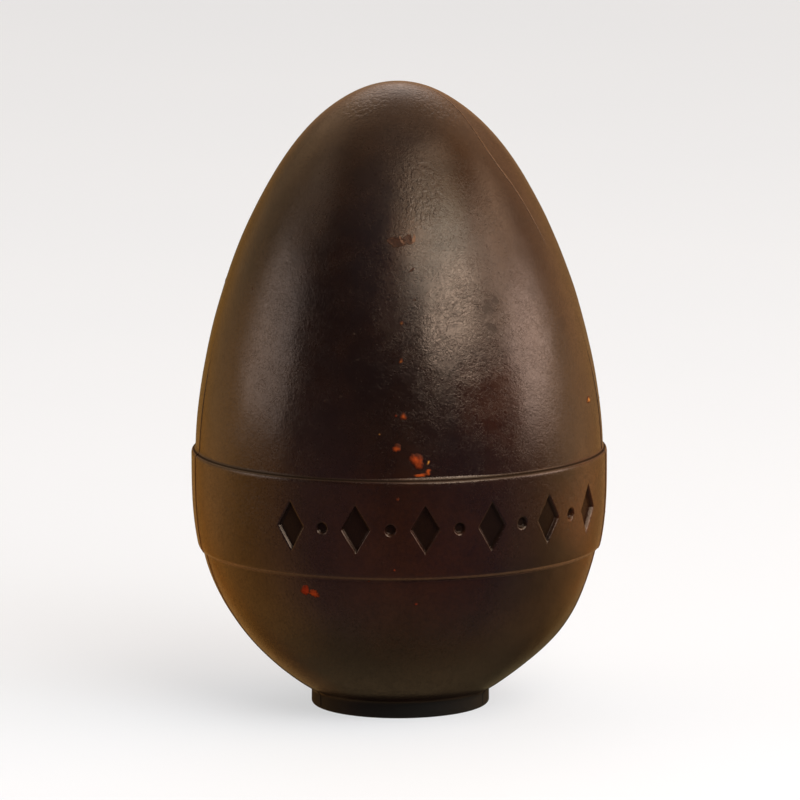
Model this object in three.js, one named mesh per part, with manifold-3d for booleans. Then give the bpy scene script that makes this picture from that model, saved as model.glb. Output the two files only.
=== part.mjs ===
// A large dark chocolate egg, moulded in one piece: an egg-shaped body, a raised belt round its
// widest part and a short round foot. Lozenges and dots are sunk into the front of the belt.
//
// Millimetres, +Z up. The origin is the middle of the foot's flat underside, the foot stands on
// Z = 0, and the front of the egg faces -Y.

import * as THREE from "three";
import { mergeVertices } from "three/addons/utils/BufferGeometryUtils.js";
import Module from "manifold-3d";

// Body
const HEIGHT = 220; // from the underside of the foot to the tip
const WIDEST_RADIUS = 71.6;
const WIDEST_HEIGHT = 87.7;
const TIP_POWER = 1.61; // 2 would make the upper part half an ellipse, less makes it more pointed
const TIP_FULLNESS = 0.04; // swells the flank between the widest point and the tip
const BASE_DEPTH = 94.2; // from the widest point to where the taper would close below the foot
const BASE_POWER = 2.84; // higher keeps the lower part wide for longer
const BASE_TAPER = 0.74; // higher makes the lower part more like a cone

// Belt
const BELT_BOTTOM = 56.3;
const BELT_TOP = 91.9;
const BELT_PROUD = 1.5;
const SHOULDER_HEIGHT = 1.9; // the rounded upper edge
const HEM_HEIGHT = 2.2; // the softer lower edge
const HEM_INSET = 0.6;

// Foot
const FOOT_RADIUS = 31.3;
const FOOT_EDGE = 0.9;

// Sunk ornament on the belt
const ORNAMENT_DEPTH = 1.3;
const ORNAMENT_HEIGHT = 74.2; // its middle, above the floor
const LOZENGE_WIDTH = 10.6;
const LOZENGE_LENGTH = 17.6;
const LOZENGES = 6;
const LOZENGE_PITCH = 19; // degrees round the belt
const ROW_TURN = 16.5; // degrees from the front to the middle of the row, towards +X
const DOT_RADIUS = 2.1;
const DOT_SIDES = 16;

// Fineness
const ROUND_STEPS = 80;
const BODY_STEPS = 20;
const BELT_STEPS = 6;
const EDGE_STEPS = 3;

const wasm = await Module();
wasm.setup();

// Radius of the bare egg at a height.
function eggRadius(height) {
  if (height >= WIDEST_HEIGHT) {
    const rise = (height - WIDEST_HEIGHT) / (HEIGHT - WIDEST_HEIGHT);
    const flank = 1 + TIP_FULLNESS * rise * (1 - rise);
    return WIDEST_RADIUS * flank * Math.sqrt(Math.max(0, 1 - rise ** TIP_POWER));
  }
  const drop = (WIDEST_HEIGHT - height) / BASE_DEPTH;
  return WIDEST_RADIUS * (1 - drop ** BASE_POWER) ** BASE_TAPER;
}

// Height at which the lower part of the egg is as narrow as a radius.
function heightBelow(radius) {
  const drop = (1 - (radius / WIDEST_RADIUS) ** (1 / BASE_TAPER)) ** (1 / BASE_POWER);
  return WIDEST_HEIGHT - BASE_DEPTH * drop;
}

// Points for steps + 1 equal parts of a quarter turn.
function quarterTurn(steps, pointAt) {
  return Array.from({ length: steps + 1 }, (_, i) => pointAt(((Math.PI / 2) * i) / steps));
}

// Flat underside, and its edge rounded up to the foot's side.
function footOutline() {
  const inner = FOOT_RADIUS - FOOT_EDGE;
  const edge = quarterTurn(
    EDGE_STEPS,
    (a) => new THREE.Vector2(inner + FOOT_EDGE * Math.sin(a), FOOT_EDGE * (1 - Math.cos(a))),
  );
  return [new THREE.Vector2(0, 0), ...edge];
}

// The body between the foot and the belt, with closer points where it curves in to the foot.
function lowerOutline() {
  const start = heightBelow(FOOT_RADIUS);
  const points = [];
  for (let i = 0; i <= BODY_STEPS / 2; i++) {
    const share = (i / (BODY_STEPS / 2)) ** 1.4;
    const height = start + (BELT_BOTTOM - start) * share;
    points.push(new THREE.Vector2(eggRadius(height), height));
  }
  return points;
}

// The belt stands proud of the body by the same amount all the way up, and both its edges are rounded.
function beltOutline() {
  const hemTop = BELT_BOTTOM + HEM_HEIGHT;
  const hem = quarterTurn(EDGE_STEPS, (a) => {
    const height = hemTop - HEM_HEIGHT * Math.cos(a);
    const inset = HEM_INSET * (1 - Math.sin(a));
    return new THREE.Vector2(eggRadius(height) + BELT_PROUD - inset, height);
  });
  const shoulderBottom = BELT_TOP - SHOULDER_HEIGHT;
  const face = [];
  for (let i = 1; i < BELT_STEPS; i++) {
    const height = hemTop + ((shoulderBottom - hemTop) * i) / BELT_STEPS;
    face.push(new THREE.Vector2(eggRadius(height) + BELT_PROUD, height));
  }
  const shoulder = quarterTurn(EDGE_STEPS + 1, (a) => {
    const height = shoulderBottom + SHOULDER_HEIGHT * Math.sin(a);
    return new THREE.Vector2(eggRadius(height) + BELT_PROUD * Math.cos(a), height);
  });
  return [...hem, ...face, ...shoulder];
}

// The body from the belt to the tip, with closer points towards the tip, which ends on the axis.
function upperOutline() {
  const rise = HEIGHT - BELT_TOP;
  return quarterTurn(BODY_STEPS, (a) => {
    const height = BELT_TOP + rise * Math.sin(a);
    return new THREE.Vector2(eggRadius(height), height);
  }).slice(1);
}

// A closed mesh as a solid that can be joined and cut.
function solidOf(geometry) {
  const bare = geometry.clone();
  bare.deleteAttribute("normal");
  bare.deleteAttribute("uv");
  const merged = mergeVertices(bare, 1e-4);
  return new wasm.Manifold(
    new wasm.Mesh({
      numProp: 3,
      vertProperties: merged.attributes.position.array,
      triVerts: new Uint32Array(merged.index.array),
    }),
  );
}

// A solid as a geometry again.
function geometryOf(solid) {
  const mesh = solid.getMesh();
  const geometry = new THREE.BufferGeometry();
  geometry.setAttribute("position", new THREE.BufferAttribute(mesh.vertProperties, 3));
  geometry.setIndex(new THREE.BufferAttribute(mesh.triVerts, 1));
  geometry.computeVertexNormals();
  return geometry;
}

function bodySolid() {
  const outline = [...footOutline(), ...lowerOutline(), ...beltOutline(), ...upperOutline()];
  outline[outline.length - 1].x = 0;
  return solidOf(new THREE.LatheGeometry(outline, ROUND_STEPS).rotateX(Math.PI / 2));
}

function lozengeShape() {
  return new THREE.Shape([
    new THREE.Vector2(LOZENGE_WIDTH / 2, 0),
    new THREE.Vector2(0, LOZENGE_LENGTH / 2),
    new THREE.Vector2(-LOZENGE_WIDTH / 2, 0),
    new THREE.Vector2(0, -LOZENGE_LENGTH / 2),
  ]);
}

function dotShape() {
  const shape = new THREE.Shape();
  shape.absarc(0, 0, DOT_RADIUS, 0, 2 * Math.PI);
  return shape;
}

// A punch for one motif, square to the belt's leaning face at a turn in degrees from the front.
// Its end lies the ornament's depth below that face, and the rest of it sticks out of the belt.
function punch(shape, turn) {
  const reach = 3 * ORNAMENT_DEPTH;
  const geometry = new THREE.ExtrudeGeometry(shape, {
    depth: reach,
    bevelEnabled: false,
    curveSegments: DOT_SIDES,
  });
  const half = LOZENGE_LENGTH / 2;
  const lean = eggRadius(ORNAMENT_HEIGHT + half) - eggRadius(ORNAMENT_HEIGHT - half);
  const floorRadius = eggRadius(ORNAMENT_HEIGHT) + BELT_PROUD - ORNAMENT_DEPTH;
  geometry.rotateX(Math.PI / 2 + Math.atan2(lean, LOZENGE_LENGTH));
  geometry.translate(0, -floorRadius, ORNAMENT_HEIGHT);
  geometry.rotateZ(THREE.MathUtils.degToRad(turn));
  return solidOf(geometry);
}

// Every punch of the row: lozenges at one pitch, with a dot half way between two of them.
function ornamentPunches() {
  const punches = [];
  for (let i = 0; i < LOZENGES; i++) {
    const turn = ROW_TURN + (i - (LOZENGES - 1) / 2) * LOZENGE_PITCH;
    punches.push(punch(lozengeShape(), turn));
    if (i < LOZENGES - 1) punches.push(punch(dotShape(), turn + LOZENGE_PITCH / 2));
  }
  return punches;
}

function makeEgg() {
  const solid = ornamentPunches().reduce((egg, tool) => egg.subtract(tool), bodySolid());
  const chocolate = new THREE.MeshStandardMaterial({
    color: 0x2b1a12,
    roughness: 0.35,
    metalness: 0,
  });
  const egg = new THREE.Mesh(geometryOf(solid), chocolate);
  egg.name = "egg";
  return egg;
}

const object = new THREE.Group();
object.add(makeEgg());

export default object;
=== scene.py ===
# A large dark chocolate egg, moulded in one piece: an egg-shaped body, a raised belt round its widest
# part with lozenges and dots sunk into its front, a short round foot, the faint line where the mould
# closed, and pieces of roasted nut that show through the skin.
#
# Metres, +Z up. The middle of the foot's underside is the origin and the front faces -Y.
# A turn is an angle round the axis, 0 at the front and growing towards +X.
import math

import bpy
import numpy as np
from mathutils import Matrix, Vector


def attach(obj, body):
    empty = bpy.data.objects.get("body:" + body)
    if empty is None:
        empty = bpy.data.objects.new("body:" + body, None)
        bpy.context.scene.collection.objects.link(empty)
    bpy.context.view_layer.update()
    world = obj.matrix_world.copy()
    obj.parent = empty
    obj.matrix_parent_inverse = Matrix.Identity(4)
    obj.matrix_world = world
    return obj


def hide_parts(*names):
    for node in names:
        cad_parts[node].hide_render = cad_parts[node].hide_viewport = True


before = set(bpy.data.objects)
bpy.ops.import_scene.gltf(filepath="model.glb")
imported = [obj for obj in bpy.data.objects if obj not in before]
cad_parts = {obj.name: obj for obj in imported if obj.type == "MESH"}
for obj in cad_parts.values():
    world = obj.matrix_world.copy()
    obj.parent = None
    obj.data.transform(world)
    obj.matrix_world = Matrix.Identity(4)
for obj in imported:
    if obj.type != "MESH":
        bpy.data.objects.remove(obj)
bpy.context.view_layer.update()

MM = 0.001

# Body
HEIGHT = 220 * MM
WIDEST_RADIUS = 71.6 * MM
WIDEST_HEIGHT = 87.7 * MM
TIP_POWER = 1.61
TIP_FULLNESS = 0.04
BASE_DEPTH = 94.2 * MM
BASE_POWER = 2.84
BASE_TAPER = 0.74

# Belt
BELT_BOTTOM = 56.3 * MM
BELT_TOP = 91.9 * MM
BELT_PROUD = 1.5 * MM
LEDGE_SLOPE = 1.3 * MM  # how much lower the ledge's outer edge lies
LEDGE_ROUND = 0.5 * MM
EDGE_ROUND = 1.1 * MM
CORNER_ROUND = 0.9 * MM
HEM_HEIGHT = 2.2 * MM
HEM_INSET = 0.6 * MM
TUCK = 4 * MM  # how far each part runs on, hidden, inside the next
UNDERSIDE = [(-TUCK, 0.25 * MM), (BELT_PROUD - HEM_INSET - 0.25 * MM, 0.1 * MM)]  # out and up from the hem

# Foot
FOOT_RADIUS = 31.3 * MM
FOOT_EDGE = 0.9 * MM
FOOT_FILLET = 1.6 * MM

# Sunk ornament on the belt
ORNAMENT_DEPTH = 1.3 * MM
ORNAMENT_HEIGHT = 74.2 * MM
ORNAMENT_WALL = 0.65 * MM
LOZENGE_WIDTH = 10.6 * MM
LOZENGE_LENGTH = 17.6 * MM
LOZENGES = 6
LOZENGE_PITCH = math.radians(19)
ROW_TURN = math.radians(16.5)
DOT_RADIUS = 2.1 * MM

# Fineness
UPPER_ROWS = 151
UPPER_COLUMNS = 655
FACE_ROWS = 70
ORNAMENT_COLUMNS = 650
PLAIN_COLUMNS = 310
LOWER_ROWS = 130
LOWER_COLUMNS = 600
ROW_GROWTH = 1.25  # above 1, the rows of the lower body lie closer near the foot
HEM_STEPS = 9
LEDGE_EDGE_STEPS = 7
LEDGE_CORNER_STEPS = 8
FILLET_STEPS = 7
FOOT_SIDE_ROWS = 13
FOOT_EDGE_STEPS = 6
UNDER_ROWS = 6
UNDER_SPAN = (0.3, 0.97)  # the innermost and outermost ring of the flat underside, as shares of it
SEAM_ROWS = 700
SEAM_SIDES = 14
PIECE_SIDES = 26

# Unevenness of the poured surface: (wavelength, height), each made of several waves
SKIN_SEED = 11
SWELLS = [(48 * MM, 0.09 * MM), (24 * MM, 0.045 * MM), (9 * MM, 0.015 * MM)]
WAVES_EACH = 14
TIP_CALM = 9 * MM  # the unevenness fades out over this height below the tip
FOOT_CALM = 6 * MM  # and over this height above the foot's edge
BELT_CALM = 0.4  # share of it on the belt
BELT_DROP = 0.15 * MM
LEAN = 0.65 * MM  # how far the lower body leans over towards +X where it leans most
LEAN_SWELL = 0.28 * MM
LEAN_RANGE = (10 * MM, 50 * MM)  # between these heights

# Where the two halves of the mould met
SEAM_FRONT = 13 * MM  # how far the line lies in front of the axis low down
SEAM_GAIN = 8.3 * MM  # and how much farther it lies high up on the right
SEAM_RISE = (108 * MM, 172 * MM)  # between these heights it moves forward
SEAM_CAP = 190 * MM
SEAM_TURN = math.radians(2.1)
SEAM_WIDTH = 0.8 * MM
SEAM_HEIGHT = 0.18 * MM
SEAM_FADE = (138 * MM, 106 * MM)  # between these heights the bead sinks into the skin
SEAM_RETURN = (162 * MM, 175 * MM)  # and between these it comes back, on the right alone
SEAM_FAINT = 0.75  # share of its height there
SEAM_ROOT = 0.7 * MM  # how deep the bead reaches into the egg

# Pieces of nut that show through the skin. Those behind are scattered: how many, and between which
# roots of their size, turns and heights. Outlines are uneven by waves of so many lobes and that reach.
BIT_RISE = 0.09  # height over width
LEAST_RISE = 0.16  # in millimetres
BIT_SUNK = 0.05 * MM
OUTLINE_WAVES = [(2, 0.12), (3, 0.16), (5, 0.09), (8, 0.07), (11, 0.05)]
SIZE_POWER = 1.8  # above 1, small pieces are the most common
BIT_SEED = 5
BITS_BEHIND = (30, (0.9, 2.2), (98, 272), (20, 165))
COVER_BEHIND = 0.4  # how far chocolate covers a bit, from 0 to 1
FRONT_BITS = [
    # turn in degrees, height, width and length in millimetres, tilt in degrees, warmth, cover
    (1.0, 144.3, 1.2, 1.5, 0, 0.9, 0.75),
    (0.7, 131.7, 1.3, 2.2, -35, 0.8, 0.75),
    (-0.8, 113.4, 1.0, 1.0, 0, 0.05, 0.6),
    (1.3, 113.1, 2.3, 3.0, 20, 0.55, 0.7),
    (-0.6, 102.5, 3.0, 3.2, 0, 0.4, 0.45),
    (4.9, 98.0, 4.4, 6.6, 42, 0.3, 0.3),
    (8.1, 97.4, 1.1, 1.8, -30, 1.0, 0.35),
    (6.2, 93.1, 6.2, 1.5, 5, 0.45, 0.3),
    (-0.4, 85.1, 1.3, 1.3, 0, 0.35, 0.7),
    (70.8, 111.0, 3.6, 2.8, 0, 0.9, 0.35),
    (-28.6, 51.2, 3.8, 4.0, 15, 0.1, 0.05),
    (-25.7, 50.3, 3.9, 3.3, -20, 0.25, 0.05),
    (-1.4, 60.2, 1.0, 1.0, 0, 0.2, 0.6),
    (-5.4, 107.1, 0.7, 0.8, 0, 1.0, 0.3),
    (4.8, 47.5, 1.4, 1.0, 0, 0.1, 0.6),
    (-8.8, 55.8, 0.9, 0.8, 0, 0.2, 0.6),
    (8.0, 94.0, 2.2, 2.6, 0, 0.5, 0.3),
]

# Scattered pieces nearer to an edge of the belt than this are moved up, all in millimetres
BELT_EDGES = (56, 92)
EDGE_ROOM = 5
EDGE_HOP = 9

# Scuffed places and grains in the skin, in rows like those of the nut but with no cover
SCUFF_DEPTH = 0.12  # of a rim in millimetres
SCUFF_SEED = 8
SCUFFS_BEHIND = (9, (0.9, 1.7), (95, 265), (25, 190))
FRONT_SCUFFS = [
    (-0.4, 170.8, 6.4, 3.8, -6, 0.0),
    (1.4, 171.4, 1.0, 3.2, 24, 0.7),
    (3.9, 171.6, 3.0, 3.8, -14, 0.35),
    (4.6, 172.2, 1.0, 1.9, -8, 0.0),
    (5.9, 171.6, 1.1, 3.2, -12, 0.8),
    (4.6, 161.6, 3.0, 0.7, 38, 0.1),
    (5.4, 151.9, 1.0, 1.0, 0, 0.2),
    (-56.8, 152.0, 0.7, 0.8, 0, 0.4),
]
SPECK_RISE = 0.22  # height over width
SPECK_SEED = 9
SPECKS = (90, (0.45, 0.85), (-180, 180), (15, 205))
FRONT_SPECKS = [
    (-12.2, 131.9, 0.9, 0.8, 0, 0.2),
    (-21.2, 117.8, 1.2, 1.0, 30, 0.3),
    (-16.8, 119.4, 0.8, 0.9, 0, 0.3),
    (-13.8, 140.5, 0.8, 0.9, 0, 0.2),
    (-31.3, 173.4, 0.9, 0.8, 0, 0.6),
    (26.6, 148.9, 1.0, 1.2, 0, 1.0),
    (-1.1, 150.9, 0.6, 0.5, 0, 0.2),
    (0.4, 150.8, 0.5, 0.6, 0, 0.2),
    (2.3, 151.2, 0.6, 0.5, 0, 0.2),
    (3.6, 150.7, 0.5, 0.5, 0, 0.2),
    (14.2, 120.0, 0.6, 0.6, 0, 0.4),
    (16.1, 116.5, 0.7, 0.6, 0, 0.4),
    (15.6, 123.3, 0.6, 0.6, 0, 0.4),
    (14.9, 118.3, 0.5, 0.5, 0, 0.4),
    (15.8, 121.4, 0.5, 0.6, 0, 0.4),
]


def egg_radius(height):
    """Radius of the bare egg at each height. With rise the share of the way from the widest point to
    the tip, it is the widest radius x (1 + fullness x rise x (1 - rise)) x root of (1 - rise ^ power).
    Below, with drop the share of the base depth, it is the widest radius x (1 - drop ^ power) ^ taper."""
    rise = np.clip((height - WIDEST_HEIGHT) / (HEIGHT - WIDEST_HEIGHT), 0, 1)
    drop = np.clip((WIDEST_HEIGHT - height) / BASE_DEPTH, 0, 1)
    upper = (1 + TIP_FULLNESS * rise * (1 - rise)) * np.sqrt(1 - rise**TIP_POWER)
    lower = (1 - drop**BASE_POWER) ** BASE_TAPER
    return WIDEST_RADIUS * np.where(height >= WIDEST_HEIGHT, upper, lower)


def height_below(radius):
    """Height at which the lower part of the egg is as narrow as a radius: its formula turned round."""
    drop = (1 - (radius / WIDEST_RADIUS) ** (1 / BASE_TAPER)) ** (1 / BASE_POWER)
    return WIDEST_HEIGHT - BASE_DEPTH * drop


def steepness(height, step):
    """How fast the bare egg's radius changes with height, over a step either way."""
    return (egg_radius(height + step) - egg_radius(height - step)) / (2 * step)


def waves(seed):
    """Random cosine waves through space: a direction over a wavelength, a height and a phase each."""
    random = np.random.default_rng(seed)
    vectors, heights, phases = [], [], []
    for length, height in SWELLS:
        direction = random.normal(size=(WAVES_EACH, 3))
        direction /= np.linalg.norm(direction, axis=1, keepdims=True)
        vectors.append(direction * 2 * np.pi / length)
        heights.append(np.full(WAVES_EACH, height / math.sqrt(WAVES_EACH)))
        phases.append(random.uniform(0, 2 * np.pi, WAVES_EACH))
    return np.concatenate(vectors), np.concatenate(heights), np.concatenate(phases)


def unevenness(points):
    """How far the skin swells out at each point, or dips in where it is negative: the sum of the waves."""
    vectors, heights, phases = waves(SKIN_SEED)
    return np.cos(points @ vectors.T + phases) @ heights


def turned(radius, height, turns):
    """Points of a profile turned round the axis, in rows up the profile and columns round it."""
    points = np.empty((len(radius), len(turns), 3))
    points[..., 0] = np.outer(radius, np.sin(turns))
    points[..., 1] = -np.outer(radius, np.cos(turns))
    points[..., 2] = height[:, None]
    return points


def round_axis(radius, turns, height):
    """A point at each radius, turn and height: (radius x sin turn, -radius x cos turn, height)."""
    return np.stack([radius * np.sin(turns), -radius * np.cos(turns), height], -1)


def outward(radius, height, turns):
    """Normals of the turned profile: its direction of travel, (dr, dz), turned a quarter to (dz, -dr)."""
    along_radius = np.gradient(radius)
    along_height = np.gradient(height)
    length = np.hypot(along_radius, along_height) + 1e-12
    return turned(along_height / length, -along_radius / length, turns)


def skin(points):
    """Closed skin over a grid of points, as vertices, quads and triangles. Rows run from one pole to
    the other and columns run once round: each cell is a quad, the last column joins the first, and
    triangles close both poles."""
    rows, columns = points.shape[:2]
    number = np.arange(rows * columns).reshape(rows, columns)
    following = np.roll(number, -1, axis=1)
    quads = np.stack([number[:-1], following[:-1], following[1:], number[1:]], -1).reshape(-1, 4)
    poles = np.stack([points[0].mean(0), points[-1].mean(0)])
    first = np.full(columns, rows * columns)
    start = np.stack([first, following[0], number[0]], -1)
    end = np.stack([first + 1, number[-1], following[-1]], -1)
    return np.concatenate([points.reshape(-1, 3), poles]), quads, np.concatenate([start, end])


def give_values(piece, label, values):
    """A named number for each vertex of a piece, for its material."""
    attribute = piece.data.attributes.new(label, "FLOAT", "POINT")
    attribute.data.foreach_set("value", values.astype(np.float32).ravel())


def made_piece(name, skins):
    """One smooth-shaded object from several skins, their vertex numbers shifted to follow on."""
    shifts = np.cumsum([0] + [len(vertices) for vertices, _, _ in skins[:-1]])
    vertices = np.concatenate([part[0] for part in skins])
    quads = np.concatenate([part[1] + shift for part, shift in zip(skins, shifts)])
    triangles = np.concatenate([part[2] + shift for part, shift in zip(skins, shifts)])
    sizes = np.concatenate([np.full(len(quads), 4), np.full(len(triangles), 3)])
    mesh = bpy.data.meshes.new(name)
    mesh.vertices.add(len(vertices))
    mesh.loops.add(sizes.sum())
    mesh.polygons.add(len(sizes))
    mesh.vertices.foreach_set("co", vertices.astype(np.float32).ravel())
    corners = np.concatenate([quads.ravel(), triangles.ravel()])
    mesh.loops.foreach_set("vertex_index", corners.astype(np.int32))
    mesh.polygons.foreach_set("loop_start", (np.cumsum(sizes) - sizes).astype(np.int32))
    mesh.polygons.foreach_set("use_smooth", np.ones(len(sizes), bool))
    mesh.update(calc_edges=True)
    mesh.validate()
    piece = bpy.data.objects.new(name, mesh)
    bpy.context.scene.collection.objects.link(piece)
    return piece


def eased(share):
    """Share from 0 to 1 that starts and ends level: 3 share^2 - 2 share^3."""
    share = np.clip(share, 0, 1)
    return share * share * (3 - 2 * share)


def arc(steps):
    """Angles of a quarter turn in equal steps."""
    return np.linspace(0, np.pi / 2, steps + 1)


def upper_profile():
    """The body from inside the belt to the tip. Heights follow a sine, so rows close up at the tip."""
    start = BELT_TOP - TUCK
    height = start + (HEIGHT - start) * np.sin(np.linspace(0, np.pi / 2, UPPER_ROWS + 1)[:-1])
    return egg_radius(height), height


def bend(start, corner, end, steps):
    """Points of a rounded corner between two others: (1 - t)^2 start + 2 t (1 - t) corner + t^2 end."""
    share = np.linspace(0, 1, steps + 1)[:, None]
    return (1 - share) ** 2 * start + 2 * share * (1 - share) * corner + share**2 * end


def belt_profile():
    """The belt's outside, tucked into the body at both ends: underside, hem, face, and a ledge that
    slopes up to the body between a rounded edge and a rounded corner."""
    hem_top = BELT_BOTTOM + HEM_HEIGHT
    hem = arc(HEM_STEPS)
    hem_height = hem_top - HEM_HEIGHT * np.cos(hem)
    hem_radius = egg_radius(hem_height) + BELT_PROUD - HEM_INSET * (1 - np.sin(hem))
    edge = np.array([BELT_PROUD, BELT_TOP - LEDGE_SLOPE])
    corner = np.array([0, BELT_TOP])
    slope = (corner - edge) / np.linalg.norm(corner - edge)
    rising = np.array([0, 1])
    on_face = edge - EDGE_ROUND * rising
    on_body = corner + CORNER_ROUND * rising
    lower_bend = bend(on_face, edge, edge + LEDGE_ROUND * slope, LEDGE_EDGE_STEPS)
    upper_bend = bend(corner - CORNER_ROUND * slope, corner, on_body, LEDGE_CORNER_STEPS)
    ledge = np.concatenate([lower_bend, upper_bend])
    ledge_radius = egg_radius(ledge[:, 1]) + ledge[:, 0]
    face_height = np.linspace(hem_top, ledge[0, 1], FACE_ROWS + 2)[1:-1]
    face_radius = egg_radius(face_height) + BELT_PROUD
    out, up = np.array(UNDERSIDE).T
    under_height = BELT_BOTTOM + up
    under_radius = egg_radius(under_height) + out
    end_height = np.array([BELT_TOP + CORNER_ROUND])
    end_radius = egg_radius(end_height) - TUCK
    radius = np.concatenate([under_radius, hem_radius, face_radius, ledge_radius, end_radius])
    height = np.concatenate([under_height, hem_height, face_height, ledge[:, 1], end_height])
    return radius, height


def lower_profile():
    """Flat underside, rounded edge, the foot's side, a fillet in the corner and the body up to inside
    the belt."""
    edge = arc(FOOT_EDGE_STEPS)
    edge_radius = FOOT_RADIUS - FOOT_EDGE * (1 - np.sin(edge))
    edge_height = FOOT_EDGE * (1 - np.cos(edge))
    corner = height_below(FOOT_RADIUS)
    side_height = np.linspace(FOOT_EDGE, corner - FOOT_FILLET, FOOT_SIDE_ROWS + 1)[1:]
    side_radius = np.full(len(side_height), FOOT_RADIUS)
    body_start = height_below(FOOT_RADIUS + FOOT_FILLET)
    share = np.linspace(0, 1, LOWER_ROWS) ** ROW_GROWTH
    body_height = body_start + (BELT_BOTTOM + TUCK - body_start) * share
    body_radius = egg_radius(body_height)
    side_end = np.array([FOOT_RADIUS, side_height[-1]])
    body_end = np.array([body_radius[0], body_height[0]])
    fillet = bend(side_end, np.array([FOOT_RADIUS, corner]), body_end, FILLET_STEPS)[1:-1]
    under_radius = np.linspace(*UNDER_SPAN, UNDER_ROWS) * (FOOT_RADIUS - FOOT_EDGE)
    radius = np.concatenate([under_radius, edge_radius, side_radius, fillet[:, 0], body_radius])
    height = np.concatenate([0 * under_radius, edge_height, side_height, fillet[:, 1], body_height])
    return radius, height


def even_turns(columns):
    """Angles all the way round in equal steps."""
    return np.linspace(-np.pi, np.pi, columns, endpoint=False)


def belt_turns():
    """Angles round the belt, over four times as close across the ornament as behind it."""
    half = LOZENGES / 2 * LOZENGE_PITCH
    start, end = ROW_TURN - half, ROW_TURN + half
    fine = np.linspace(start, end, ORNAMENT_COLUMNS, endpoint=False)
    coarse = np.linspace(end, start + 2 * np.pi, PLAIN_COLUMNS, endpoint=False)
    return np.concatenate([fine, coarse])


def lozenge_reach(across, up):
    """Distance inside a lozenge's nearest edge: (1 - |across| / half width - |up| / half length) over
    the slope of that sum."""
    wide, long = LOZENGE_WIDTH / 2, LOZENGE_LENGTH / 2
    slope = math.hypot(1 / wide, 1 / long)
    return (1 - np.abs(across) / wide - np.abs(up) / long) / slope


def ornament(turns, height):
    """Depth of the sunk ornament over the belt's grid: each motif's distance inside its edge, eased
    over the width of its wall."""
    up = (height - ORNAMENT_HEIGHT)[:, None]
    ring = WIDEST_RADIUS + BELT_PROUD
    reach = np.full((len(height), len(turns)), -1.0)
    for i in range(LOZENGES):
        turn = ROW_TURN + (i - (LOZENGES - 1) / 2) * LOZENGE_PITCH
        across = ring * (turns - turn)[None, :]
        reach = np.maximum(reach, lozenge_reach(across, up))
        if i < LOZENGES - 1:
            beside = across - ring * LOZENGE_PITCH / 2
            reach = np.maximum(reach, DOT_RADIUS - np.hypot(beside, up))
    return ORNAMENT_DEPTH * eased(reach / ORNAMENT_WALL)


def upper_shift(points):
    """Unevenness of the body above the belt, which fades out at the tip, so that it keeps its height."""
    return unevenness(points) * eased((HEIGHT - points[..., 2]) / TIP_CALM)


def belt_shift(points):
    """Unevenness of the belt, calmer, and lowered to stay within its nominal size."""
    return unevenness(points) * BELT_CALM - BELT_DROP


def lower_shift(points):
    """Unevenness of the body below the belt, which fades out down the foot, and a slight lean: with
    share running from 0 to 1 over its range, (swell + lean x sin turn) x sin(pi share)^2."""
    low, high = LEAN_RANGE
    share = np.clip((points[..., 2] - low) / (high - low), 0, 1)
    sideways = points[..., 0] / np.hypot(points[..., 0], points[..., 1])
    lean = (LEAN_SWELL + LEAN * sideways) * np.sin(np.pi * share) ** 2
    return unevenness(points) * eased((points[..., 2] - FOOT_EDGE) / FOOT_CALM) + lean


def turned_skin(profile, turns, shift, sunk=0):
    """A profile turned round the axis, then moved along its normals by a shift, less what is sunk."""
    points = turned(*profile, turns)
    move = shift(points) - sunk
    return skin(points + outward(*profile, turns) * move[..., None])


def egg_upper():
    """The body above the belt."""
    turns = even_turns(UPPER_COLUMNS)
    return made_piece("egg_upper", [turned_skin(upper_profile(), turns, upper_shift)])


def egg_belt():
    """The belt, with the depth of its ornament as a share at each vertex."""
    profile, turns = belt_profile(), belt_turns()
    sunk = ornament(turns, profile[1])
    piece = made_piece("egg_belt", [turned_skin(profile, turns, belt_shift, sunk)])
    give_values(piece, "sunk", np.append(sunk / ORNAMENT_DEPTH, [0, 0]))
    return piece


def egg_lower():
    """The body below the belt, and the foot."""
    turns = even_turns(LOWER_COLUMNS)
    return made_piece("egg_lower", [turned_skin(lower_profile(), turns, lower_shift)])


def seam_front(height, side):
    """How far in front of the axis the mould line lies: its distance low down, and on the right an
    eased gain above, times 1 - over^2, which brings it back to the axis at the tip."""
    start, end = SEAM_RISE
    over = np.clip((height - SEAM_CAP) / (HEIGHT - SEAM_CAP), 0, 1)
    gain = SEAM_GAIN * eased((height - start) / (end - start)) * (side > 0)
    return (SEAM_FRONT + gain) * (1 - over**2)


def seam_turns(radius, height, side):
    """Turns of the mould line on a side, -1 left and 1 right: the angle whose cosine is the line's front
    distance over the radius."""
    return SEAM_TURN + side * np.arccos(np.clip(seam_front(height, side) / radius, -1, 1))


def seam_run(profile, side, shift):
    """Points and normals of a stretch of the mould line over a profile, on one side."""
    radius, height = profile
    turns = seam_turns(radius, height, side)
    along_radius, along_height = np.gradient(radius), np.gradient(height)
    length = np.hypot(along_radius, along_height)
    points = round_axis(radius, turns, height)
    normals = round_axis(along_height / length, turns, -along_radius / length)
    return points + normals * shift(points)[:, None], normals


def seam_over_tip():
    """Points and normals of the mould line over the body's top, from the belt on the left to the belt on
    the right. Its height above the belt falls with way^2, so its points close up at the tip."""
    way = np.linspace(-1, 1, SEAM_ROWS)
    height = BELT_TOP + (HEIGHT - BELT_TOP) * (1 - way**2)
    radius = egg_radius(height)
    turns = seam_turns(radius, height, np.sign(way))
    normals = round_axis(np.ones_like(height), turns, -steepness(height, 0.01 * MM))
    normals /= np.linalg.norm(normals, axis=1, keepdims=True)
    points = round_axis(radius, turns, height)
    return points + normals * upper_shift(points)[:, None], normals


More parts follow.
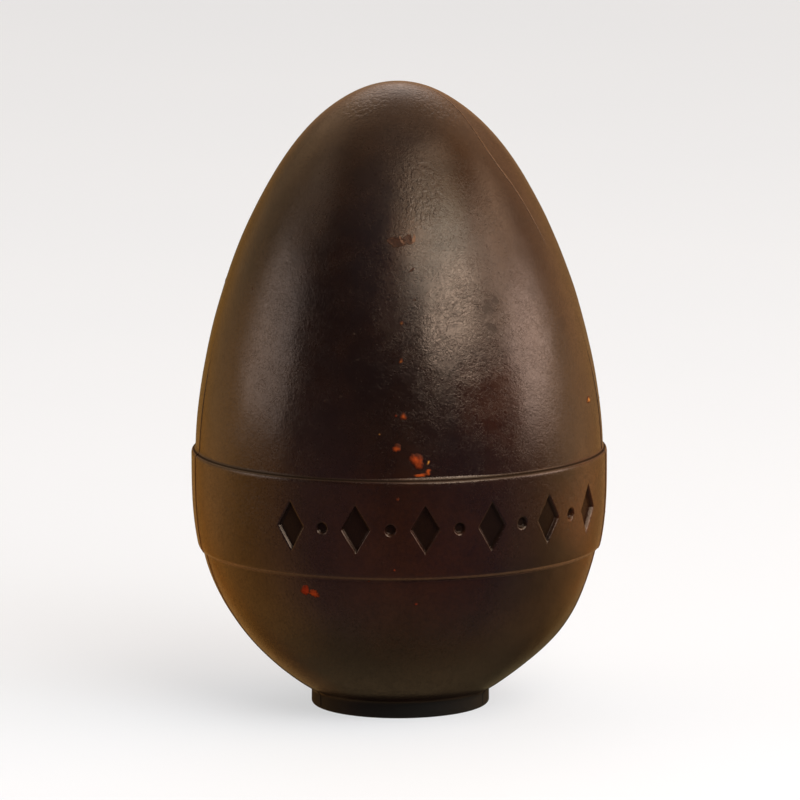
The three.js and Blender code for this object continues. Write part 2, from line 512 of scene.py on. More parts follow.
def seam_returns(points):
    """Share to which the mould line is back on the right high up."""
    low, high = SEAM_RETURN
    return (points[..., 0] > 0) * eased((points[..., 2] - low) / (high - low))


def bead(points, normals):
    """A low closed bead along a path: an ellipse, wide across the path, low above it and deeper below,
    carried along the path's own directions."""
    ahead = np.gradient(points, axis=0)
    ahead /= np.linalg.norm(ahead, axis=1, keepdims=True)
    beside = np.cross(normals, ahead)
    angle = np.linspace(0, 2 * np.pi, SEAM_SIDES, endpoint=False)
    rise = np.sin(angle)
    rise = np.where(rise > 0, rise * SEAM_HEIGHT, rise * SEAM_ROOT)
    across = np.cos(angle) * SEAM_WIDTH / 2
    top, bottom = SEAM_FADE
    strong = eased((top - points[:, 2]) / (top - bottom))
    share = np.maximum(strong, seam_returns(points) * SEAM_FAINT)
    share = share * eased((HEIGHT - points[:, 2]) / TIP_CALM)
    rise = np.minimum(rise, rise * share[:, None])
    return skin(points[:, None] + beside[:, None] * across[:, None] + normals[:, None] * rise[..., None])


def mould_line():
    """The bead over the body's top, and down the belt, the lower body and the foot on both sides."""
    skins = [bead(*seam_over_tip())]
    belt = tuple(values[len(UNDERSIDE) : -1] for values in belt_profile())
    lower_radius, lower_height = lower_profile()
    above_edge = lower_height > FOOT_EDGE
    lower = (lower_radius[above_edge], lower_height[above_edge])
    for side in (-1, 1):
        skins.append(bead(*seam_run(belt, side, belt_shift)))
        skins.append(bead(*seam_run(lower, side, lower_shift)))
    piece = made_piece("mould_line", skins)
    every = np.concatenate([vertices for vertices, _, _ in skins])
    # pale: share of a painted highlight along the mould line where it comes back high on the right
    give_values(piece, "pale", seam_returns(every))
    return piece


def outline_of_bit(random, angle):
    """Uneven outline of a small broken piece, about 1: slow waves round it with random phases."""
    reach = np.ones_like(angle)
    for lobes, amount in OUTLINE_WAVES:
        reach += amount * random.uniform(0.5, 1) * np.cos(lobes * angle + random.uniform(0, 2 * np.pi))
    return reach


def part_at(height):
    """The unevenness of the part of the egg at a height, and how far it stands proud of the body."""
    if height >= BELT_TOP:
        return upper_shift, 0
    if height > BELT_BOTTOM:
        return belt_shift, BELT_PROUD
    return lower_shift, 0


def low_piece(random, place, profile):
    """A low piece with an uneven outline on the egg. Rings shrink from a sunk rim to the top, each at its
    own rise in metres. What lies across and up from the middle has the turn + across / radius and the
    height + up / root of (1 + lean^2). Also returns each vertex's share of the way out from the middle."""
    turn, height, width, length, tilt = place
    ring, rise = profile
    angle = np.linspace(0, 2 * np.pi, PIECE_SIDES, endpoint=False)
    reach = outline_of_bit(random, angle)
    wide = ring[:, None] * reach * np.cos(angle) * width * MM / 2
    tall = ring[:, None] * reach * np.sin(angle) * length * MM / 2
    slant = math.radians(tilt)
    across = wide * math.cos(slant) - tall * math.sin(slant)
    up = wide * math.sin(slant) + tall * math.cos(slant)
    lean = steepness(height * MM, 0.5 * MM)
    level = height * MM + up / math.hypot(1, lean)
    shift, proud = part_at(height * MM)
    radius = egg_radius(level) + proud
    points = round_axis(radius, math.radians(turn) + across / radius, level)
    facing = round_axis(1, math.radians(turn), -lean)
    points += facing / np.linalg.norm(facing) * (shift(points) + rise[:, None])[..., None]
    share = np.concatenate([np.repeat(ring, len(angle)), [1, 0]])
    return skin(points), share


def dome(width, length, high):
    """Rings of a dome, 1 - ring^3 of its height, from a rim sunk into the egg."""
    ring = np.array([0.6, 1.0, 0.93, 0.82, 0.66, 0.45, 0.2])
    most = max(min(width, length) * high, LEAST_RISE)
    rise = most * MM * (1 - ring**3) - BIT_SUNK
    rise[0] = -8 * BIT_SUNK
    return ring, rise


def scuff(deep):
    """Rings of a scuffed place: a narrow raised rim round a hollow, its floor just above the skin."""
    ring = np.array([0.6, 1.0, 0.94, 0.86, 0.76, 0.6, 0.3])
    rise = np.array([-4, -0.3, 0.9, 1.0, 0.35, 0.12, 0.18]) * deep * MM
    return ring, rise


def low_pieces(name, rows, seed, profile_of):
    """One piece of many low pieces, with the warmth and any cover of their rows and the share out from
    the middle, as film, on their vertices."""
    random = np.random.default_rng(seed)
    made = [low_piece(random, row[:5], profile_of(row)) for row in rows]
    piece = made_piece(name, [skin_of for skin_of, _ in made])
    sizes = [len(share) for _, share in made]
    for label, values in zip(("warmth", "cover"), np.array(rows)[:, 5:].T):
        give_values(piece, label, np.repeat(values, sizes))
    give_values(piece, "film", np.concatenate([share for _, share in made]))
    return piece


def scattered(seed, count, sizes, turns, heights):
    """Random rows for low pieces, moved up where they would lie on an edge of the belt."""
    random = np.random.default_rng(seed)
    rows = []
    for _ in range(count):
        size = random.uniform(*sizes) ** SIZE_POWER
        turn, height = random.uniform(*turns), random.uniform(*heights)
        near_edge = min(abs(height - edge) for edge in BELT_EDGES) < EDGE_ROOM
        shape = random.uniform(0.7, 1.3)
        tilt, warmth = random.uniform(0, 180), random.uniform(0, 1)
        rows.append((turn, height + EDGE_HOP * near_edge, size * shape, size / shape, tilt, warmth))
    return rows


def nut_bits():
    """The pieces of nut that show at the front, and more scattered over the rest of the egg."""
    behind = scattered(BIT_SEED, *BITS_BEHIND)
    rows = FRONT_BITS + [row + (COVER_BEHIND,) for row in behind]
    return low_pieces("nut_bits", rows, BIT_SEED, lambda row: dome(row[2], row[3], BIT_RISE))


def scuffs():
    """Scuffed places, no deeper than they are wide."""
    rows = FRONT_SCUFFS + scattered(SCUFF_SEED, *SCUFFS_BEHIND)
    return low_pieces("scuffs", rows, SCUFF_SEED, lambda row: scuff(SCUFF_DEPTH * min(1, row[2], row[3])))


def specks():
    """Grains of chocolate that stick out of the skin."""
    rows = FRONT_SPECKS + scattered(SPECK_SEED, *SPECKS)
    return low_pieces("specks", rows, SPECK_SEED, lambda row: dome(row[2], row[3], SPECK_RISE))


egg_pieces = [egg_upper(), egg_belt(), egg_lower(), mould_line(), specks()]
scuff_piece = scuffs()
nut_piece = nut_bits()


# Finish of the chocolate. A dullness is the share of matt chocolate at a place; on the foot, the ledge and
# in the sunk ornament it is painted shade.
DEEP_BROWN = (0.0068, 0.0047, 0.0055, 1)
BROWN = (0.0122, 0.0075, 0.0066, 1)
# Warm brown of warmer places, partly a painted amber glow of light at the sides
WARM_AND_GLOW_BROWN = (0.13, 0.038, 0.003, 1)
HIGHLIGHT_BROWN = (0.15, 0.10, 0.06, 1)
# Matt chocolate, also used as painted shade on the ledge and in the sunk ornament
MATT_AND_SHADE_BROWN = (0.0045, 0.0038, 0.0032, 1)
# Painted shade: colour of the foot's dark matt chocolate, for the shade near the floor
FOOT_SHADE_COLOUR = (0.0096, 0.0125, 0.0136, 1)
CHOCOLATE_SHINE = 0.3
RIM_GLOW_TINT = (1.1, 0.9, 0.4, 1)  # painted amber rim light: tints the belt and what lies below it warmer towards the sides
RIM_GLOW_START = 0.0010  # square of the distance from the middle where the tint sets in
RIM_GLOW_FULL = 0.0040
PATCH_SIZE = 34 * MM
CLOUD_SIZE = 9 * MM
DUST_SIZE = 1.4 * MM
GRAIN_SIZE = 0.8 * MM
DIMPLE_SIZE = 2.3 * MM
WORN_SIZE = 15 * MM
GRAIN_HEIGHT = 0.044  # heights and depths here are in millimetres
DIMPLE_HEIGHT = 0.022
WORN_GRAIN = 0.014  # what worn places add to the two heights
WORN_DIMPLES = 0.012
CREASE_DEPTH = 0.012
FINE_CREASE = 0.0035  # half the width of a crease, as a squared difference from the noise's middle
COARSE_CREASE = 0.0016
WEAR = 0.12  # how dull the creases are
# Painted shade: the ledge between its bends is made dark matt chocolate
LEDGE_LOW = BELT_TOP - LEDGE_SLOPE + 0.3 * MM
LEDGE_HIGH = BELT_TOP - 0.5 * MM
LEDGE_FACE = (LEDGE_LOW, LEDGE_LOW + 0.15 * MM, LEDGE_HIGH, LEDGE_HIGH + 0.2 * MM)  # between its bends
LEDGE_SHADE_DULLNESS = 0.8
HEM_HIGHLIGHT = (BELT_BOTTOM - MM, BELT_BOTTOM, BELT_BOTTOM + 0.7 * MM, BELT_BOTTOM + 1.3 * MM)
# Painted shade: the sunk ornament is made dark matt chocolate
SUNK_SHADE_DULLNESS = 0.72
GRAIN_DULLNESS = 0.24
SMUDGE_DULLNESS = 0.42
FOOT_SHADE_DULLNESS = 0.88  # painted shade: dark matt chocolate on the foot stands in for the shade next to the floor

# Arcs of ripples in the skin
RIPPLE_LENGTH = 0.52 * MM
RIPPLE_SPREAD = 1.3
RIPPLES = [
    # turn in degrees, height, inner and outer distance in millimetres, height of a ripple
    (22.5, 139.5, 9, 16, 0.075),
    (58, 131, 6, 14, 0.04),
    (140, 140, 8, 18, 0.05),
    (-150, 120, 8, 20, 0.05),
]
RUN_WANDER = 60  # how much of its reach a run's end wanders, per metre
RUN_SHRINK = (1.0, 1.0, 0.24)  # of the pattern's place, which draws it out up the egg
RUNS = [
    # turn in degrees, height, reach across and up in millimetres, height of a run
    (11, 187, 8, 13, 0.065),
    (-40, 215, 10, 7, 0.06),
    (45, 213, 9, 7, 0.06),
    (62, 204, 6, 8, 0.04),
    (165, 180, 8, 14, 0.05),
]
SMUDGES = [
    # turn in degrees, height, reach in millimetres, share
    (30.4, 148.0, 2.6, 0.85),
    (33.4, 150.4, 2.3, 0.85),
    (30.8, 141.5, 2.2, 0.9),
    (50.0, 152.0, 3.5, 0.5),
    (62.0, 139.0, 3.0, 0.5),
]
# Warmer places: near the front the chocolate's own warmer tone, low at the sides a painted amber glow of
# light
WARM_AND_GLOW_PLACES = [
    # turn in degrees, height, reach in millimetres, share
    (0, 66, 46, 0.09),
    (27, 117, 20, 0.06),
    (8, 34, 40, 0.05),
    (-90, 62, 56, 0.24),
    (-74, 50, 24, 0.2),
    (74, 50, 20, 0.15),
    (88, 66, 52, 0.15),
    (58, 76, 22, 0.1),
    (160, 90, 50, 0.05),
]


class Wire:
    """An output of a node that can be used in Python expressions: each operator adds a Math node."""

    def __init__(self, tree, socket):
        self.tree = tree
        self.socket = socket

    def math(self, operation, *terms):
        return self.tree.node("ShaderNodeMath", {"operation": operation}, dict(enumerate(terms)))

    def __add__(self, other):
        return self.math("ADD", self, other)

    __radd__ = __add__

    def __sub__(self, other):
        return self.math("SUBTRACT", self, other)

    def __rsub__(self, other):
        return self.math("SUBTRACT", other, self)

    def __mul__(self, other):
        return self.math("MULTIPLY", self, other)

    __rmul__ = __mul__

    def __truediv__(self, other):
        return self.math("DIVIDE", self, other)

    def __pow__(self, other):
        return self.math("POWER", self, other)

    def most(self, other):
        return self.math("MAXIMUM", self, other)

    def rise(self, low, high):
        """0 below low and 1 above high, eased in between. It falls instead where low is above high."""
        falls = low > high
        limits = {"Value": self, "From Min": min(low, high), "From Max": max(low, high)}
        limits.update({"To Min": float(falls), "To Max": float(not falls)})
        return self.tree.node("ShaderNodeMapRange", {"interpolation_type": "SMOOTHSTEP"}, limits)

    def within(self, start, low, high, end):
        """1 from low to high, eased down to 0 at start below them and at end above them."""
        return self.rise(start, low) * self.rise(end, high)


class Tree:
    """The node tree of a material or of the world."""

    def __init__(self, owner):
        owner.use_nodes = True
        self.nodes = owner.node_tree.nodes
        self.links = owner.node_tree.links
        self.nodes.clear()

    def node(self, kind, settings=None, inputs=None, output=0):
        """Adds a node, sets its settings, fills or links its inputs, and returns one output."""
        made = self.nodes.new(kind)
        for name, value in (settings or {}).items():
            setattr(made, name, value)
        for key, value in (inputs or {}).items():
            if isinstance(value, Wire):
                self.links.new(value.socket, made.inputs[key])
            else:
                made.inputs[key].default_value = value
        return Wire(self, made.outputs[output]) if len(made.outputs) else None

    def place(self):
        return self.node("ShaderNodeTexCoord", output="Object")

    def along(self, axis):
        """Place along the X, Y or Z axis."""
        return self.node("ShaderNodeSeparateXYZ", None, {"Vector": self.place()}, axis)

    def attribute(self, name):
        return self.node("ShaderNodeAttribute", {"attribute_name": name}, output="Fac")

    def noise(self, size, detail=2.0, roughness=0.5, at=None, twist=0.0):
        """Noise from 0 to 1 with features of about that size in metres."""
        where = self.place() if at is None else at
        values = {"Vector": where, "Scale": 1 / size, "Detail": detail}
        values.update({"Roughness": roughness, "Distortion": twist})
        return self.node("ShaderNodeTexNoise", None, values)

    def mix(self, share, first, second):
        """Colour between two colours, by a share. A Mix node has its colours at sockets 6, 7 and 2."""
        return self.node("ShaderNodeMix", {"data_type": "RGBA"}, {0: share, 6: first, 7: second}, 2)

    def vector(self, operation, *terms, output=0):
        return self.node("ShaderNodeVectorMath", {"operation": operation}, dict(enumerate(terms)), output)

    def bump(self, height):
        """Normal of the skin with a height in millimetres added to it."""
        values = {"Height": height, "Distance": MM, "Strength": 1.0}
        return self.node("ShaderNodeBump", None, values)

    def coat(self, colour, roughness, shine, normal):
        """A shader by its colour, its roughness, and how strongly it mirrors, 0 for not at all."""
        values = {"Base Color": colour, "Roughness": roughness}
        values.update({"Specular IOR Level": shine, "Normal": normal})
        return self.node("ShaderNodeBsdfPrincipled", None, values)


def spot_place(tree, turn, height):
    """Where a place lies from a spot on the egg, in metres: across, up and straight away from it."""
    angle, level = math.radians(turn), height * MM
    radius = float(egg_radius(np.array([level]))[0])
    middle = (radius * math.sin(angle), -radius * math.cos(angle), level)
    away = tree.vector("SUBTRACT", tree.place(), middle)
    sideways = (math.cos(angle), math.sin(angle), 0.0)
    across = tree.vector("DOT_PRODUCT", away, sideways, output="Value")
    up = tree.vector("DOT_PRODUCT", away, (0.0, 0.0, 1.0), output="Value")
    reach = tree.vector("LENGTH", away, output="Value")
    return across, up, reach


def rings(tree, wander, turn, height, inner, outer):
    """Fine arcs of ripples round a spot on the egg, from 0 to 1, and how far they show at each place.
    They are noise over the distance from the spot and the direction to it."""
    across, up, reach = spot_place(tree, turn, height)
    far = reach + wander
    where = {0: across / reach, 1: up / reach, 2: far / RIPPLE_LENGTH}
    along = tree.node("ShaderNodeCombineXYZ", None, where)
    arcs = tree.noise(1 / RIPPLE_SPREAD, 1.0, at=along)
    return arcs * far.within(inner * 0.6, inner, outer, outer * 1.25)


def runs(tree, wander, turn, height, reach_across, reach_up):
    """Flat-topped runs down the egg round a spot, from 0 to 1, where the skin melted and set again."""
    across, up, reach = spot_place(tree, turn, height)
    far = ((across / reach_across) ** 2 + (up / reach_up) ** 2) ** 0.5 + wander * RUN_WANDER
    far = far.most(reach / (reach_across + reach_up))
    drawn = tree.vector("MULTIPLY", tree.place(), RUN_SHRINK)
    tops = tree.noise(1.3 * MM, 2.0, at=drawn, twist=0.3).rise(0.42, 0.56)
    return tops * far.rise(1.1, 0.7)


def skin_height(tree, lines):
    """Height of the skin's fine texture in millimetres."""
    worn = tree.noise(WORN_SIZE, 2.0).rise(0.35, 0.65)
    grain = tree.noise(GRAIN_SIZE, 2.0, 0.6, twist=0.7)
    dimples = tree.noise(DIMPLE_SIZE, 1.0, 0.5, twist=0.6)
    total = grain * (worn * WORN_GRAIN + GRAIN_HEIGHT) - lines * CREASE_DEPTH
    total = total + dimples * (worn * WORN_DIMPLES + DIMPLE_HEIGHT)
    wander = (tree.noise(3 * MM, 2.0) - 0.5) * 5 * MM
    for turn, height, inner, outer, strength in RIPPLES:
        total = total + rings(tree, wander, turn, height, inner * MM, outer * MM) * strength
    for turn, height, reach_across, reach_up, strength in RUNS:
        total = total + runs(tree, wander, turn, height, reach_across * MM, reach_up * MM) * strength
    return total


def smudges(tree):
    """Dull places where the skin was touched, from 0 to 1."""
    wander = (tree.noise(1.8 * MM, 3.0) - 0.5) * 6 * MM
    total = tree.noise(7 * MM, 3.0, 0.6).rise(0.66, 0.8) * 0.15
    for turn, height, wide, share in SMUDGES:
        _, _, reach = spot_place(tree, turn, height)
        total = total.most((reach + wander).rise(wide * 1.5 * MM, wide * 0.4 * MM) * share)
    return total


def warm_and_glow_places(tree):
    """Places that are warmer, from 0 to 1: partly the chocolate's own warmer tone, and low at the sides a
    painted amber glow of light.
    """
    wander = (tree.noise(12 * MM, 3.0) - 0.5) * 16 * MM
    total = 0.0
    for turn, height, wide, share in WARM_AND_GLOW_PLACES:
        _, _, reach = spot_place(tree, turn, height)
        total = (reach + wander).rise(wide * MM, wide * 0.15 * MM) * share + total
    return total


def creases(tree):
    """Fine creases all over the skin, from 0 to 1: where two sets of noise pass their middle."""
    fine = tree.noise(0.9 * MM, 2.0, 0.6, twist=0.3) - 0.5
    coarse = tree.noise(2.0 * MM, 2.0, 0.6, twist=0.5) - 0.5
    patches = tree.noise(6 * MM, 2.0).rise(0.3, 0.6)
    lines = (fine * fine).rise(FINE_CREASE, 0.0) + (coarse * coarse).rise(COARSE_CREASE, 0.0)
    return lines * (patches * 0.45 + 0.55)


def chocolate_colour(tree, clouds, dust):
    """Dark brown in slow patches, warmer in places: partly the chocolate's own warmer tone, and at the
    sides low down a painted amber glow and rim light. A painted highlight runs along the hem, stronger
    towards the sides, and along the mould line where it comes back high on the right."""
    level, sideways = tree.along("Z"), tree.along("X")
    tone = (tree.noise(PATCH_SIZE, 3.0) * 0.55 + clouds * 0.35 + dust * 0.1).rise(0.35, 0.65)
    colour = tree.mix(tone, DEEP_BROWN, BROWN)
    mottled = clouds * 0.5 + dust.rise(0.3, 0.7) * 0.5 + 0.5
    colour = tree.mix(warm_and_glow_places(tree) * mottled, colour, WARM_AND_GLOW_BROWN)
    # Painted amber rim light: a warmer base colour towards the sides, from the belt down
    at_sides = (sideways * sideways).rise(RIM_GLOW_START, RIM_GLOW_FULL)
    low_down = level.rise(BELT_TOP, BELT_TOP - 2 * MM)
    rim_glow = tree.mix(at_sides * low_down, (1, 1, 1, 1), RIM_GLOW_TINT)
    colour = tree.vector("MULTIPLY", colour, rim_glow)
    # Painted highlight: a paler line along the hem, stronger towards the sides, and along the mould line
    # high on the right
    hem = level.within(*HEM_HIGHLIGHT) * (dust * 0.5 + at_sides * 0.45 + 0.05)
    seam_highlight = tree.attribute("pale") * dust.rise(0.3, 0.6) * 0.35
    return tree.mix(hem.most(seam_highlight), colour, HIGHLIGHT_BROWN)


def dullness(tree, foot, touched, lines):
    """Share of matt chocolate: painted shade as dark matt chocolate on the foot, the ledge and the sunk
    ornament, and dullness where the skin was touched, and in its creases and its finest grain, which is
    coarser from the belt down."""
    level = tree.along("Z")
    ledge = level.within(*LEDGE_FACE)
    coarser = level.rise(BELT_TOP + MM, BELT_TOP - 3 * MM) * 0.4 + 1
    fine = tree.noise(0.7 * MM, 2.0, 0.7).rise(0.38, 0.78)
    grain = lines * WEAR + fine * GRAIN_DULLNESS * coarser
    # Painted shade on the foot and the ledge, with the real dull places where the skin was touched
    shade_and_smudges = (foot * FOOT_SHADE_DULLNESS).most(ledge * LEDGE_SHADE_DULLNESS).most(touched * SMUDGE_DULLNESS)
    return shade_and_smudges.most(tree.attribute("sunk") * SUNK_SHADE_DULLNESS).most(grain)


def chocolate():
    """Glossy dark chocolate, mixed with matt chocolate by its dullness; the matt chocolate also paints
    shade on the foot, the ledge and the sunk ornament.
    """
    material = bpy.data.materials.new("dark_chocolate")
    tree = Tree(material)
    clouds = tree.noise(CLOUD_SIZE, 4.0, 0.6)
    dust = tree.noise(DUST_SIZE, 3.0, 0.6)
    lines, touched = creases(tree), smudges(tree)
    # Painted shade on the foot, made by its dark matt chocolate
    foot = tree.along("Z").rise(7 * MM, 5 * MM)
    normal = tree.bump(skin_height(tree, lines))
    roughness = clouds.rise(0.3, 0.75) * 0.05 + dust * 0.05 + 0.07 + touched * 0.25
    glossy = tree.coat(chocolate_colour(tree, clouds, dust), roughness, CHOCOLATE_SHINE, normal)
    matt = tree.coat(tree.mix(foot, MATT_AND_SHADE_BROWN, FOOT_SHADE_COLOUR), 1.0, 0.0, normal)
    share = dullness(tree, foot, touched, lines)
    shader = tree.node("ShaderNodeMixShader", None, {0: share, 1: glossy, 2: matt})
    tree.node("ShaderNodeOutputMaterial", None, {"Surface": shader})
    return material


SCUFF_DARK = (0.010, 0.005, 0.004, 1)
SCUFF_LIGHT = (0.026, 0.011, 0.007, 1)
SCUFF_RIM = (0.13, 0.085, 0.06, 1)
SCUFF_SHINE = 0.12


def scuffed():
    """Matt chocolate inside a scuffed place, paler at its rim."""
    material = bpy.data.materials.new("scuffed_chocolate")
    tree = Tree(material)
    film = tree.attribute("film")
    flecks = tree.noise(0.7 * MM, 2.0)
    hollow = tree.mix(flecks.rise(0.3, 0.7), SCUFF_DARK, SCUFF_LIGHT)
    chipped = (tree.attribute("warmth") + flecks * 0.6).rise(0.5, 1.2)
    rim = (film.within(0.72, 0.8, 0.9, 0.96) * flecks.rise(0.55, 0.7) * 0.6).most(chipped)
    colour = tree.mix(rim, hollow, SCUFF_RIM)
    normal = tree.bump(flecks * 0.05)
    shader = tree.coat(colour, flecks * 0.2 + 0.32, SCUFF_SHINE, normal)
    tree.node("ShaderNodeOutputMaterial", None, {"Surface": shader})
    return material


NUT_RED = (0.22, 0.021, 0.006, 1)
NUT_ORANGE = (0.35, 0.078, 0.015, 1)
NUT_YELLOW = (0.42, 0.25, 0.06, 1)
NUT_COVERED = (0.035, 0.011, 0.006, 1)
NUT_SHINE = 0.05


def nut():
    """Roasted nut under a thin film of chocolate, which thickens with the cover and towards the rim of
    each piece."""
    material = bpy.data.materials.new("roasted_nut")
    tree = Tree(material)
    warmth = tree.attribute("warmth")
    flecks = tree.noise(0.9 * MM, 2.0)
    warm = (warmth + flecks * 0.5 - 0.25).rise(0.0, 0.6)
    yellow = (warmth + flecks * 0.4 - 0.2).rise(0.6, 1.05)
    orange = tree.mix(warm, NUT_RED, NUT_ORANGE)
    bare = tree.mix(yellow, orange, NUT_YELLOW)
    film = tree.attribute("film") ** 2 * 0.9 + tree.attribute("cover") * 0.8
    covered = (film + tree.noise(1.7 * MM, 2.0) * 1.6).rise(0.7, 1.8)
    colour = tree.mix(covered, bare, NUT_COVERED)
    normal = tree.bump(tree.noise(0.5 * MM, 2.0) * 0.02)
    shader = tree.coat(colour, flecks * 0.2 + 0.4, NUT_SHINE, normal)
    tree.node("ShaderNodeOutputMaterial", None, {"Surface": shader})
    return material


def finish_piece(piece, material):
    """Gives a piece its material and puts it in the egg's place."""
    piece.data.materials.append(material)
    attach(piece, "root")
    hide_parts("egg")


dark_chocolate = chocolate()
for piece in egg_pieces:
    finish_piece(piece, dark_chocolate)
finish_piece(scuff_piece, scuffed())
finish_piece(nut_piece, nut())


# Studio
EGG_MIDDLE = Vector((0, 0, 0.1))
LIGHT_DISTANCE = 2.5
CLOTH_SIZE = 0.06  # of the clouds in a panel's cloth, as a share of the panel
CLOTH_CONTRAST = 0.7
SOFTBOXES = [
    # name, azimuth and elevation, width and height, roll, colour, glow, fades
    ("key_top", (36, 50), (62, 26), 0, (1.0, 0.73, 0.47), 3.7, (0.3, 0.3, 0.4, 0.5)),
    ("key_left", (10, 43), (34, 18), 0, (1.0, 0.24, 0.0), 1.8, (0.5, 0.3, 0.4, 0.4)),
    ("key_mid", (35, 39), (56, 20), 0, (1.0, 0.84, 0.65), 6.0, (0.25, 0.35, 0.4, 0.4)),
    ("key_high", (45, 64), (60, 20), 0, (1.0, 0.66, 0.43), 3.0, (0.3, 0.3, 0.4, 0.4)),
    ("right_top", (88, 52), (54, 28), 0, (1.0, 0.34, 0.0), 0.5, (0.35, 0.35, 0.4, 0.4)),
    ("bridge_panel", (70, 28), (34, 34), 0, (1.0, 0.67, 0.47), 4.2, (0.4, 0.4, 0.3, 0.4)),
    ("right_panel", (93, 12), (42, 28), 0, (1.0, 0.71, 0.57), 7.2, (0.1, 0.55, 0.35, 0.4)),
    ("right_high", (94, 32), (44, 26), 0, (1.0, 0.63, 0.4), 3.2, (0.35, 0.4, 0.4, 0.5)),
    ("left_panel", (-90, 14), (44, 38), 0, (1.0, 0.77, 0.66), 2.7, (0.5, 0.08, 0.35, 0.4)),
    ("left_high", (-88, 42), (48, 28), 0, (1.0, 0.71, 0.5), 0.8, (0.4, 0.35, 0.4, 0.5)),
    ("key_core", (40, 28), (42, 16), 8, (1.0, 0.72, 0.53), 13.4, (0.12, 0.4, 0.1, 0.4)),
]
AIR = (0.002, 0.002, 0.002)  # the same from everywhere
GLOWS = [
    # azimuth, elevation, full inside, none outside, colour
    (0, 90, 5, 50, (0.72, 0.4, 0.17)),
    (180, 60, 5, 50, (0.65, 0.45, 0.35)),
    (180, 22, 3, 30, (0.72, 0.39, 0.2)),
    (0, 55, 5, 40, (0.03, 0.13, 0.21)),
    (-120, 20, 5, 45, (0.6, 0.39, 0.21)),
    (120, 20, 5, 45, (1.06, 0.52, 0.25)),
    (-100, -20, 5, 45, (1.26, 0.56, 0.14)),
    (100, -20, 5, 45, (0.51, 0.28, 0.12)),
    (-45, -30, 5, 50, (0.4, 0.21, 0.21)),
    (45, -30, 5, 50, (0.0, 0.05, 0.14)),
    (0, -90, 10, 60, (0.45, 0.31, 0.16)),
    (70, 5, 5, 40, (0.24, 0.04, 0.0)),
    (180, 42, 3, 25, (1.6, 1.43, 1.34)),
    (-150, -12, 3, 28, (0.43, 0.19, 0.03)),
    (145, -12, 3, 28, (0.45, 0.23, 0.07)),
    (110, -5, 3, 25, (0.36, 0.26, 0.13)),
    (180, -20, 3, 30, (0.16, 0.12, 0.06)),
    (166, -2, 3, 18, (0.2, 0.09, 0.035)),
    (-150, -26, 3, 26, (0.18, 0.06, 0.01)),
    (-140, 45, 3, 30, (0.69, 0.4, 0.19)),
    (140, 45, 3, 30, (0.55, 0.33, 0.16)),
]
FLOOR_REACH = 12.0
FLOOR_COLOURS = [(0.20, 0.28, 0.40, 1), (0.22, 0.30, 0.42, 1)]
FLOOR_GLOW = (0.56, 0.56, 0.56, 1)


def direction(azimuth, elevation):
    """Unit vector at an azimuth, 0 towards -Y and growing towards +X, and an elevation in degrees."""
    turn, lift = math.radians(azimuth), math.radians(elevation)
    return Vector((math.sin(turn) * math.cos(lift), -math.cos(turn) * math.cos(lift), math.sin(lift)))


def softbox(name, place, size, roll, colour, glow, fades):
    """A panel of light aimed at the egg. Place is its azimuth and elevation and size its width and
    height, in degrees as the egg sees it, roll leans its top to the left, and glow is its brightness,
    a quarter of its energy over its area.
    It fades to nothing over a share of its width or height at each edge: towards smaller and towards
    larger azimuths, below and above."""
    light = bpy.data.lights.new(name, "AREA")
    light.shape = "RECTANGLE"
    light.size = 2 * LIGHT_DISTANCE * math.tan(math.radians(size[0] / 2))
    light.size_y = 2 * LIGHT_DISTANCE * math.tan(math.radians(size[1] / 2))
    light.energy = 4 * glow * light.size * light.size_y
    light.color = colour
    tree = Tree(light)
    spot = tree.node("ShaderNodeTexCoord", output="UV")
    across = tree.node("ShaderNodeSeparateXYZ", None, {"Vector": spot}, output="X")
    up = tree.node("ShaderNodeSeparateXYZ", None, {"Vector": spot}, output="Y")
    smaller, larger, lower, upper = fades
    within = across.within(0, smaller, 1 - larger, 1) * up.within(0, lower, 1 - upper, 1)
    uneven = (tree.noise(CLOTH_SIZE, 2.0, at=spot) - 0.5) * CLOTH_CONTRAST + 1
    panel_glow = tree.node("ShaderNodeEmission", None, {"Strength": within * uneven})
    tree.node("ShaderNodeOutputLight", None, {"Surface": panel_glow})
    panel = bpy.data.objects.new(name, light)
    back = direction(*place)
    panel.location = EGG_MIDDLE + back * LIGHT_DISTANCE
    lean = Matrix.Rotation(math.radians(roll), 3, "Z")
    panel.rotation_euler = (back.to_track_quat("Z", "Y").to_matrix() @ lean).to_euler()
    bpy.context.scene.collection.objects.link(panel)


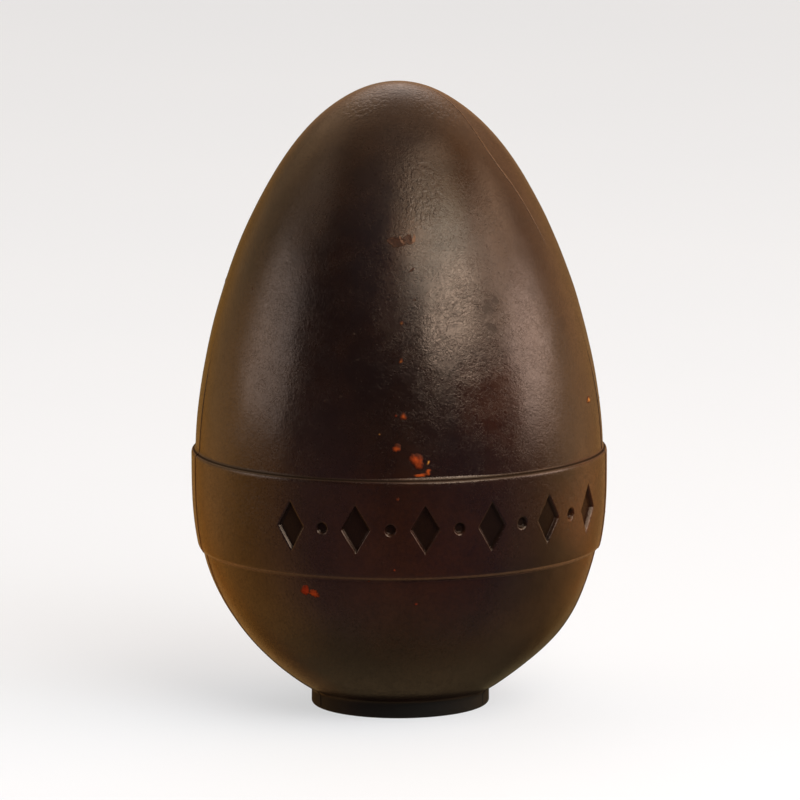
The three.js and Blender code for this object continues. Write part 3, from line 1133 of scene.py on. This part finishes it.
def studio_air():
    """Dim warm surroundings: a sum of soft round glows, each by the angle from its middle."""
    world = bpy.data.worlds.new("studio_air")
    bpy.context.scene.world = world
    tree = Tree(world)
    heading = tree.vector("NORMALIZE", tree.node("ShaderNodeTexCoord", output="Generated"))
    total = AIR
    for azimuth, elevation, inner, outer, colour in GLOWS:
        facing = tree.vector("DOT_PRODUCT", heading, direction(azimuth, elevation), output="Value")
        share = facing.rise(math.cos(math.radians(outer)), math.cos(math.radians(inner)))
        part = tree.node("ShaderNodeVectorMath", {"operation": "SCALE"}, {0: colour, "Scale": share})
        total = tree.vector("ADD", total, part)
    air = tree.node("ShaderNodeBackground", None, {"Color": total, "Strength": 1.0})
    tree.node("ShaderNodeOutputWorld", None, {"Surface": air})


def studio_floor():
    """A plain pale floor. It is too bright to be lit by the lamps alone, so it has a glow of its own,
    and the egg doesn't mirror it."""
    size = FLOOR_REACH
    corners = np.array([[-size, -size, 0], [size, -size, 0], [size, size, 0], [-size, size, 0]])
    floor = made_piece("studio_floor", [(corners, np.array([[0, 1, 2, 3]]), np.empty((0, 3), int))])
    material = bpy.data.materials.new("pale_floor")
    tree = Tree(material)
    colour = tree.mix(tree.noise(0.4), *FLOOR_COLOURS)
    values = {"Base Color": colour, "Roughness": 0.9, "Specular IOR Level": 0.0}
    values.update({"Emission Color": FLOOR_GLOW, "Emission Strength": 1.0})
    shader = tree.node("ShaderNodeBsdfPrincipled", None, values)
    tree.node("ShaderNodeOutputMaterial", None, {"Surface": shader})
    floor.data.materials.append(material)
    floor.visible_glossy = False
    floor.visible_diffuse = False
    floor.visible_shadow = False


# Camera
CAMERA_DISTANCE = 2.5
CAMERA_ELEVATION = math.radians(9.2537)
CAMERA_AIM = Vector((0.4 * MM, 0, 107.55 * MM))
CAMERA_ROLL = math.radians(-0.285)
CAMERA_LENS = 320.8
SENSOR_WIDTH = 36


def studio_camera():
    """The camera looks at its aim from in front and a little above."""
    data = bpy.data.cameras.new("studio_camera")
    data.sensor_width = SENSOR_WIDTH
    data.lens = CAMERA_LENS
    data.clip_start = 0.1
    data.clip_end = 60
    camera = bpy.data.objects.new("studio_camera", data)
    back = Vector((0, -math.cos(CAMERA_ELEVATION), math.sin(CAMERA_ELEVATION)))
    turn = back.to_track_quat("Z", "Y").to_matrix() @ Matrix.Rotation(CAMERA_ROLL, 3, "Z")
    camera.matrix_world = Matrix.Translation(CAMERA_AIM + back * CAMERA_DISTANCE) @ turn.to_4x4()
    bpy.context.scene.collection.objects.link(camera)
    bpy.context.scene.camera = camera


for row in SOFTBOXES:
    softbox(*row)
studio_air()
studio_floor()
studio_camera()
bpy.context.scene.view_settings.view_transform = "Standard"
